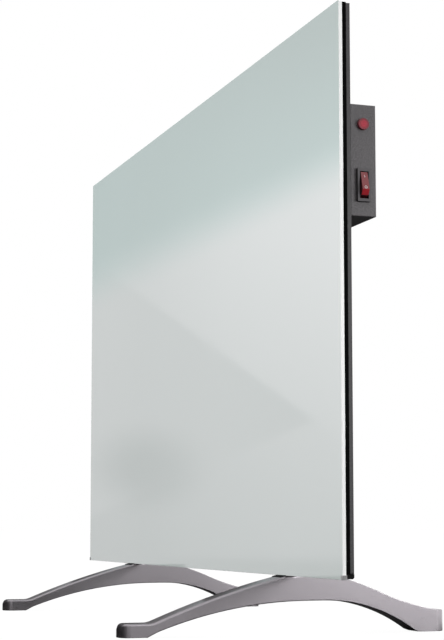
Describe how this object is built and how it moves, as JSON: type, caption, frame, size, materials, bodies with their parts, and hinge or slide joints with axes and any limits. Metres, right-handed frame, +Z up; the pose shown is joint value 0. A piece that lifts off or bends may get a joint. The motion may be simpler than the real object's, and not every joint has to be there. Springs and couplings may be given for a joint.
{
  "type": "infrared panel heater",
  "caption": "Free-standing flat glass heating panel on two arched feet, with a rear control box that carries a rocker switch and a round indicator lamp.",
  "frame": {"origin": "on the floor under the middle of the panel width, in the plane of the front of the glass", "axes": "+X along the panel towards the end with the switch, +Y to the rear, +Z up"},
  "size_m": [1.0065, 0.381, 0.664],
  "materials": {
    "coated_glass": "pale grey-green printed tempered glass, gloss",
    "heating_film": "printed carbon film",
    "copper": "bare copper strip",
    "foil": "bright foil",
    "insulation": "pressed mineral fibre",
    "seal_rubber": "black foam rubber",
    "tray_paint": "dark grey powder coat",
    "strip_rubber": "black rubber",
    "clip_grey": "grey plastic",
    "zinc_steel": "zinc plated",
    "foot_paint": "satin silver-mauve paint",
    "pad_rubber": "black rubber",
    "rivet_aluminium": "plain aluminium",
    "box_paint": "fine textured grey powder coat",
    "lamp_red": "translucent red",
    "white_plastic": "natural plastic",
    "switch_black": "moulded black",
    "rocker_red": "glossy translucent red",
    "brass": "bare brass",
    "gland_plastic": "moulded black",
    "wire_silicone": "silicone wire"
  },
  "bodies": {
    "heater": {"back_tray": "tray_paint", "base_rivets": "rivet_aluminium", "bottom_strip": "strip_rubber", "box_base_plate": "zinc_steel", "box_cover": "box_paint", "box_pillars": "zinc_steel", "bracket_foot_screws": "zinc_steel", "bracket_panel_screws": "zinc_steel", "busbars": "copper", "cover_screws": "zinc_steel", "cutout_lead": "wire_silicone", "cutout_rivets": "rivet_aluminium", "earth_nut": "brass", "earth_stud": "brass", "edge_clips": "clip_grey", "floor_pads": "pad_rubber", "foot_bracket_left": "tray_paint", "foot_bracket_right": "tray_paint", "foot_left": "foot_paint", "foot_right": "foot_paint", "gland_body": "gland_plastic", "gland_dome": "gland_plastic", "gland_nut": "gland_plastic", "gland_seal": "pad_rubber", "glass_panel": "coated_glass", "heater_leads": "wire_silicone", "heating_film": "heating_film", "insulation_board": "insulation", "lamp_body": "white_plastic", "lamp_clip": "zinc_steel", "lamp_leads": "wire_silicone", "lamp_lens": "lamp_red", "perimeter_seal": "seal_rubber", "port_grommet": "pad_rubber", "reflector_foil": "foil", "saddle_pads": "pad_rubber", "switch_blades": "brass", "switch_housing": "switch_black", "switch_leads": "wire_silicone", "terminal_block": "white_plastic", "terminal_screws": "zinc_steel", "thermal_cutout": "white_plastic", "weld_nuts": "zinc_steel"},
    "rocker": {"switch_rocker": "rocker_red", "rocker_plunger": "white_plastic", "rocker_spring": "zinc_steel"},
    "seesaw": {"seesaw_contact": "brass"}
  },
  "joints": [
    {"name": "rocker_tilt", "type": "hinge", "parent": "heater", "child": "rocker", "pos_m": [0.494, 0.02715, 0.4694], "axis": [0, 1, 0], "range_deg": [0, 32]},
    {"name": "seesaw_tilt", "type": "hinge", "parent": "heater", "child": "seesaw", "pos_m": [0.482, 0.02715, 0.4694], "axis": [0, 1, 0], "range_deg": [-16, 0]}
  ],
  "couplings": [
    {"joint": "seesaw_tilt", "follows": "rocker_tilt", "ratio": -0.5}
  ]
}
